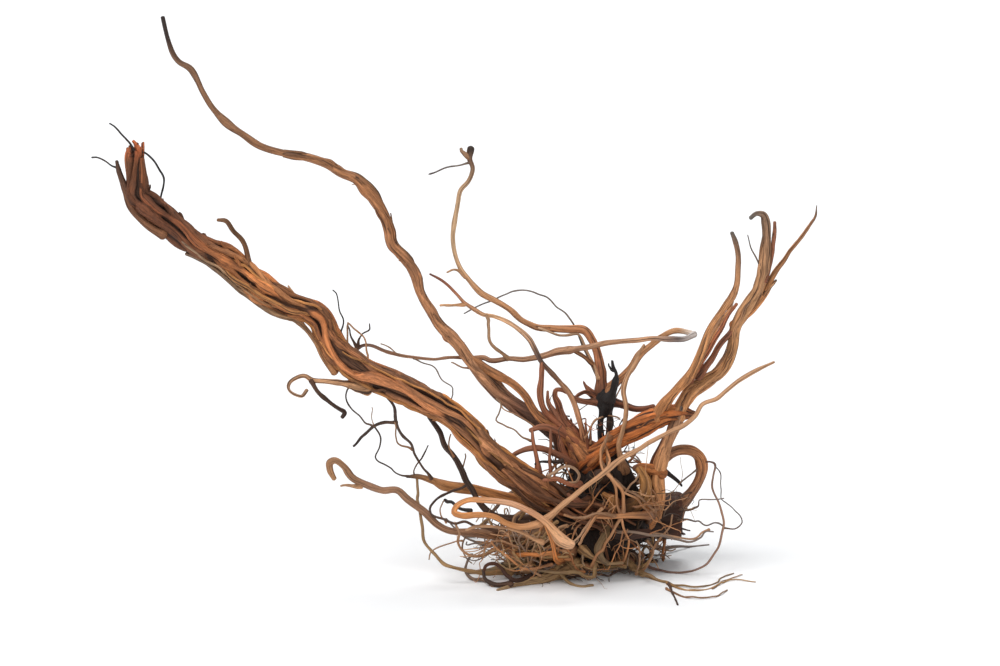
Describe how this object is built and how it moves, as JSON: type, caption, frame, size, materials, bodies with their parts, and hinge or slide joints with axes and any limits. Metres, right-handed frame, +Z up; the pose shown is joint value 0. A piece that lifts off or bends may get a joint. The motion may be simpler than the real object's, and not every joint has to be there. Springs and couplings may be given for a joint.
{
  "type": "dry root",
  "caption": "Free-standing piece of dry azalea-type driftwood: a tangled crown with a fused bundle rising left, arching thin roots, a right-hand cluster and a hairpin root in front.",
  "frame": {"origin": "on the surface the root stands on, in the middle of its spread from side to side and from front to back", "axes": "+X to the side that the cluster of straps leans to, opposite the thick bundle; +Y to the back, away from the peeled hairpin root in front; +Z up"},
  "size_m": [0.5058, 0.196, 0.3859],
  "materials": {
    "root_wood": "dry, bare, matt root wood with dark furrows"
  },
  "bodies": {
    "root": {"dry_root": "root_wood"}
  },
  "joints": []
}
